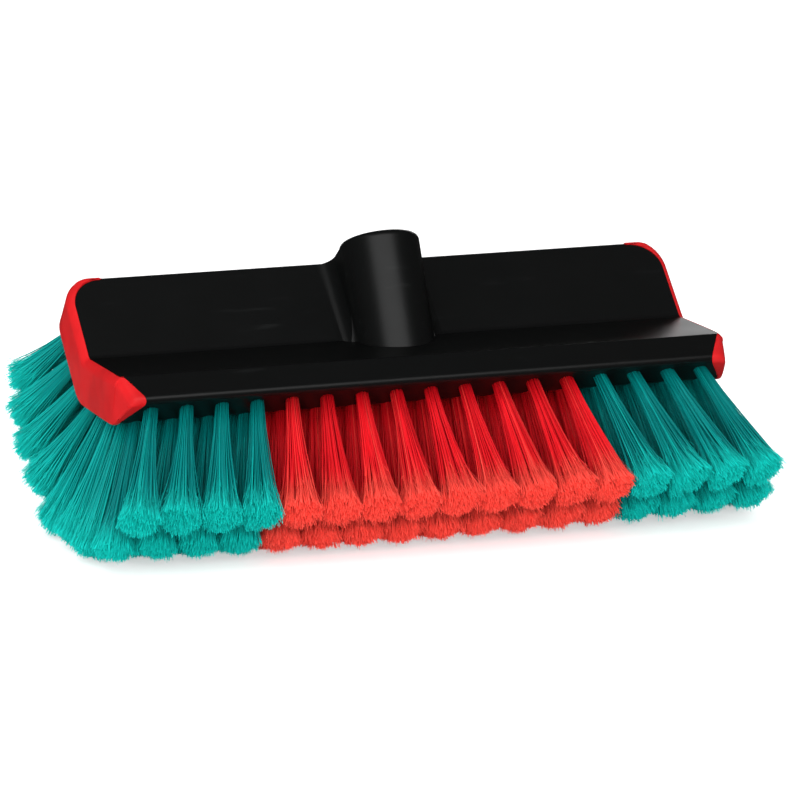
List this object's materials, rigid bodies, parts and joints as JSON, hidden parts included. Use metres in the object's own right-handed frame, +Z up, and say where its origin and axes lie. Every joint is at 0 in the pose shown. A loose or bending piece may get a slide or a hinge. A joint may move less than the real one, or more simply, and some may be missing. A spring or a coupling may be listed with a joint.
{
  "type": "vehicle wash brush",
  "caption": "Angled high-low wash brush: bent black block with a slanted handle socket, soft red end bumpers and fanned rows of teal and red split-tip bristles.",
  "frame": {"origin": "on the floor, under the middle of the brush's bounding box", "axes": "+X along the brush to its right end, +Y to the back, where the wing rises, +Z up"},
  "size_m": [0.3168, 0.1726, 0.1278],
  "materials": {
    "black_plastic": "satin moulded black plastic",
    "red_rubber": "smooth satin thermoplastic rubber",
    "red_bristle": "fine filaments with split, paler tips",
    "teal_bristle": "fine filaments with split, paler tips"
  },
  "bodies": {
    "root": {"brush_back": "black_plastic", "left_bumper": "red_rubber", "right_bumper": "red_rubber", "bristles_row1_left": "teal_bristle", "bristles_row1_middle": "red_bristle", "bristles_row1_right": "teal_bristle", "bristles_row2_left": "teal_bristle", "bristles_row2_middle": "red_bristle", "bristles_row2_right": "teal_bristle", "bristles_row3_left": "teal_bristle", "bristles_row3_middle": "red_bristle", "bristles_row3_right": "teal_bristle", "bristles_row4_left": "teal_bristle", "bristles_row4_middle": "red_bristle", "bristles_row4_right": "teal_bristle", "bristles_row5_left": "teal_bristle", "bristles_row5_middle": "red_bristle", "bristles_row5_right": "teal_bristle", "bristles_row6_left": "teal_bristle", "bristles_row6_middle": "red_bristle", "bristles_row6_right": "teal_bristle", "bristles_row7_left": "teal_bristle", "bristles_row7_middle": "red_bristle", "bristles_row7_right": "teal_bristle", "bristles_row8_left": "teal_bristle", "bristles_row8_middle": "red_bristle", "bristles_row8_right": "teal_bristle", "bristles_row9_left": "teal_bristle", "bristles_row9_middle": "red_bristle", "bristles_row9_right": "teal_bristle"}
  },
  "joints": []
}
